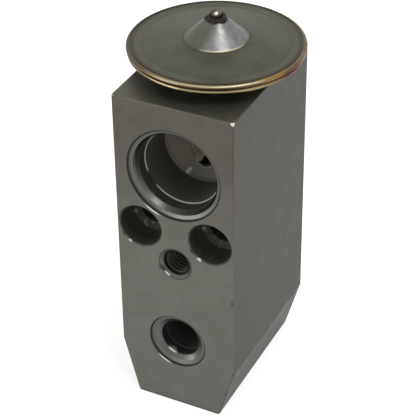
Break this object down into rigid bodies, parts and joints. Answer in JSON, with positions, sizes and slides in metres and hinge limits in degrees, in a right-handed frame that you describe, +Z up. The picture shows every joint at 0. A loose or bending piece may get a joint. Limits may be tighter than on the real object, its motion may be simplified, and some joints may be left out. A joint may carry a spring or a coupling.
{
  "type": "thermostatic expansion valve",
  "caption": "Tall aluminium block valve with pipe ports, counterbored bolt holes and a tapered foot, under a round diaphragm head with a raised cone and a sealing ball.",
  "frame": {"origin": "centre of the footprint's bounding box at the level of the block's base", "axes": "+Z up from the block's base to the diaphragm head, -Y out of the front face with the pipe ports, +X to the right seen from the front"},
  "size_m": [0.0384, 0.0404, 0.0917],
  "materials": {
    "block_aluminium": "satin, as machined",
    "cover_steel": "pressed sheet, heat-tinted at the rim",
    "rim_weld_steel": "dark weld",
    "plug_steel": "bright ball",
    "plug_weld_steel": "burnt weld",
    "neck_steel": "turned",
    "diaphragm_steel": "thin bright sheet",
    "pad_steel": "turned",
    "stem_aluminium": "turned",
    "sleeve_plastic": "black",
    "pin_steel": "ground",
    "seal_rubber": "black",
    "retainer_steel": "stamped",
    "ball_steel": "polished",
    "carrier_brass": "turned",
    "damper_steel": "thin spring sheet",
    "spring_steel": "drawn wire",
    "adjuster_brass": "turned"
  },
  "bodies": {
    "housing": {"valve_body": "block_aluminium", "upper_cover": "cover_steel", "lower_cover": "cover_steel", "rim_weld": "rim_weld_steel", "charge_plug": "plug_steel", "plug_weld": "plug_weld_steel", "head_boss": "neck_steel", "head_o_ring": "seal_rubber", "diaphragm": "diaphragm_steel", "stem_o_ring": "seal_rubber", "seal_retainer": "retainer_steel", "superheat_spring": "spring_steel"},
    "plunger": {"diaphragm_pad": "pad_steel", "sensing_stem": "stem_aluminium", "stem_sleeve": "sleeve_plastic", "push_pin": "pin_steel", "valve_ball": "ball_steel", "ball_carrier": "carrier_brass", "damper_spring": "damper_steel"},
    "adjuster_seal": {"adjuster_o_ring": "seal_rubber"},
    "adjuster": {"adjusting_screw": "adjuster_brass"}
  },
  "joints": [
    {"name": "valve_stroke", "type": "slide", "parent": "housing", "child": "plunger", "axis": [0, 0, 1], "range_m": [0, 0.00055], "stiffness_N_per_m": 400, "springref_m": -0.0015, "deforming": ["diaphragm", "superheat_spring"]},
    {"name": "adjuster_travel", "type": "slide", "parent": "housing", "child": "adjuster_seal", "axis": [0, 0, 1], "range_m": [-0.0005, 0.001], "deforming": ["superheat_spring"]},
    {"name": "adjuster_turn", "type": "hinge", "parent": "adjuster_seal", "child": "adjuster", "pos_m": [0, 0.001, 0.0035], "axis": [0, 0, 1], "range_deg": [-180, 360]}
  ],
  "couplings": [
    {"joint": "adjuster_travel", "follows": "adjuster_turn", "m_per_rad": 0.00015915}
  ]
}
